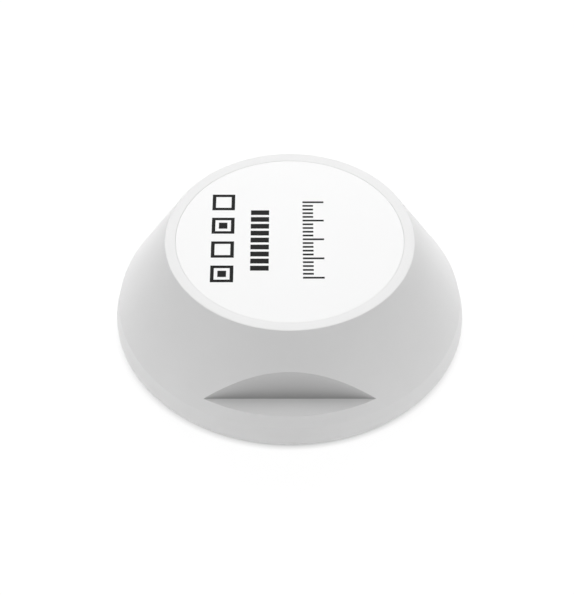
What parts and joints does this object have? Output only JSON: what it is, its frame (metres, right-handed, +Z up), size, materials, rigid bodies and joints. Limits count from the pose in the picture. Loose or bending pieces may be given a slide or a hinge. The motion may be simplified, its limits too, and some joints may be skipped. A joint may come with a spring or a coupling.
{
  "type": "bluetooth beacon tag",
  "caption": "Coin-shaped wireless beacon tag: a low cone-sided plastic case with a flat label face and a fingernail notch, over a board with a coin cell.",
  "frame": {"origin": "middle of the wide face that the tag stands on", "axes": "+Z up through the narrow label face, -Y towards the notch in the cone, +X the way the coin cell slides out"},
  "size_m": [0.036, 0.036, 0.0109],
  "materials": {
    "white_plastic": "satin moulded ABS",
    "label_film": "semi-gloss printed film",
    "seal_rubber": "smooth silicone",
    "board_laminate": "solder mask over glass laminate",
    "screw_steel": "zinc plated",
    "contact_steel": "nickel plated strip",
    "cell_steel": "nickel plated, drawn",
    "gasket_plastic": "moulded polypropylene",
    "cathode_pellet": "pressed pellet",
    "separator_paper": "non-woven",
    "anode_metal": "soft metal foil",
    "chip_plastic": "moulded epoxy",
    "crystal_metal": "plated lid",
    "antenna_ceramic": "fired ceramic",
    "lamp_lens": "clear epoxy over a white tray",
    "bulk_moulding": "moulded epoxy",
    "capacitor_ceramic": "fired ceramic with tinned ends",
    "resistor_ceramic": "fired ceramic with tinned ends",
    "inductor_ferrite": "ferrite"
  },
  "bodies": {
    "base": {"base_cover": "white_plastic", "sealing_ring": "seal_rubber", "circuit_board": "board_laminate", "board_screws": "screw_steel", "battery_clip": "contact_steel", "negative_contact": "contact_steel", "radio_chip": "chip_plastic", "main_crystal": "crystal_metal", "clock_crystal": "crystal_metal", "chip_antenna": "antenna_ceramic", "hall_sensor": "chip_plastic", "status_led": "lamp_lens", "bulk_capacitor": "bulk_moulding", "capacitors": "capacitor_ceramic", "resistors": "resistor_ceramic", "inductors": "inductor_ferrite"},
    "housing": {"shell": "white_plastic", "label": "label_film"},
    "coin_cell": {"cell_can": "cell_steel", "cell_cap": "cell_steel", "cell_gasket": "gasket_plastic", "cell_cathode": "cathode_pellet", "cell_separator": "separator_paper", "cell_anode": "anode_metal"}
  },
  "joints": [
    {"name": "shell_lift", "type": "slide", "parent": "base", "child": "housing", "axis": [0, 0, 1], "range_m": [0, 0.032]},
    {"name": "cell_slide", "type": "slide", "parent": "base", "child": "coin_cell", "axis": [1, 0, 0], "range_m": [0, 0.016]}
  ],
  "couplings": [
    {"joint": "cell_slide", "follows": "shell_lift", "ratio": 0.5}
  ]
}
